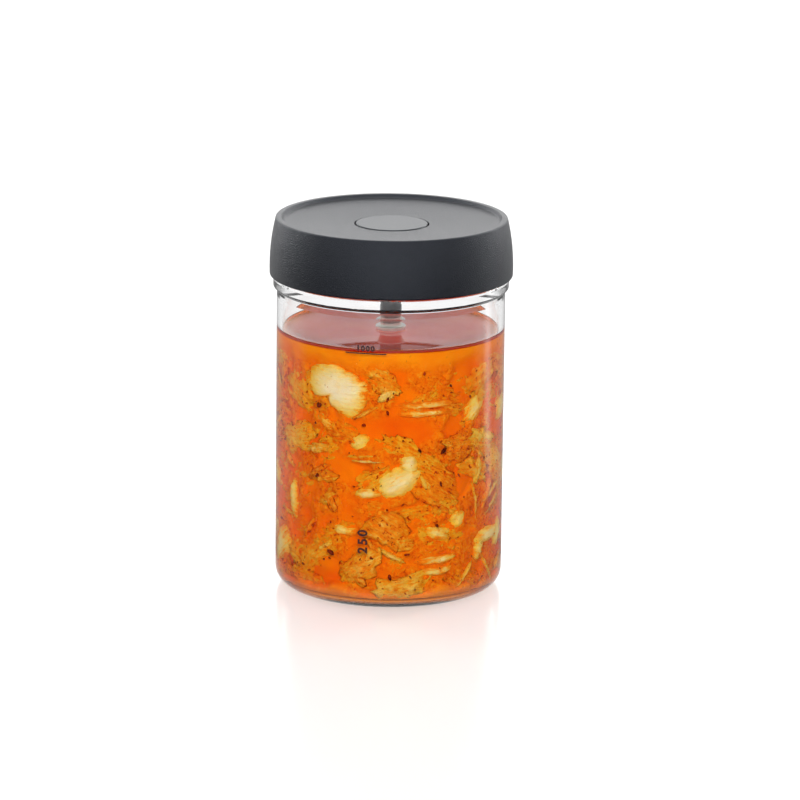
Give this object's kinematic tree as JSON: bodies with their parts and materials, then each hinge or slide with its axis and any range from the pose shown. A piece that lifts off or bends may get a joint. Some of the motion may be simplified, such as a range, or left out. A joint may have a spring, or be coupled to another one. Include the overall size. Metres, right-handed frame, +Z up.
{
  "type": "fermentation jar",
  "caption": "Straight clear glass jar filled with kimchi in orange brine, shut by a dark plastic lid with a sunk top, a round push button and a steel knob above the brine.",
  "frame": {"origin": "middle of the jar's foot, on the surface that it stands on", "axes": "+Z up along the jar's axis, -Y towards the front with the printed marks, +X to the right seen from the front"},
  "size_m": [0.115, 0.115, 0.1778],
  "materials": {
    "clear_glass": "clear pressed borosilicate glass, fire polished",
    "kimchi": "wet cabbage and leaves with chilli in orange brine",
    "lid_plastic": "moulded dark grey polypropylene with a fine spark-eroded grain",
    "button_plastic": "moulded dark grey polypropylene, smoother than the lid",
    "knob_steel": "turned and polished stainless steel"
  },
  "bodies": {
    "jar": {"jar_glass": "clear_glass", "contents": "kimchi", "lid": "lid_plastic", "steel_knob": "knob_steel"},
    "button": {"lid_button": "button_plastic"}
  },
  "joints": [
    {"name": "button_press", "type": "slide", "parent": "jar", "child": "button", "axis": [0, 0, -1], "range_m": [0, 0.002], "stiffness_N_per_m": 600, "springref_m": -0.002}
  ]
}
